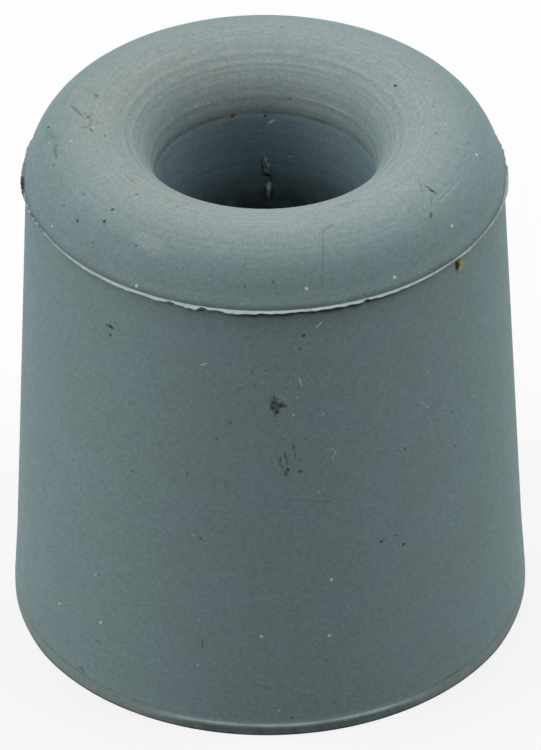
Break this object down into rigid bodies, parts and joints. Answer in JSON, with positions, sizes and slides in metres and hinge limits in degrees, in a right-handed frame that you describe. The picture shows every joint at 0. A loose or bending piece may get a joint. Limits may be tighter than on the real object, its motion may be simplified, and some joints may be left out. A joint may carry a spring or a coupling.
{
  "type": "rubber door stop",
  "caption": "Conical grey rubber door stop with a rounded crown and a deep recess that hides the screw fixing it to a floor or wall.",
  "frame": {"origin": "middle of the flat base, on the axis of the screw hole", "axes": "+Z along the axis of the stop, from the base to the crown; the stop is round about Z, so X and Y are free"},
  "size_m": [0.0375, 0.0374, 0.04],
  "materials": {
    "rubber": "matte blue-grey moulded rubber with fine dust and a few dark rub marks"
  },
  "bodies": {
    "root": {"door_stop": "rubber"}
  },
  "joints": []
}
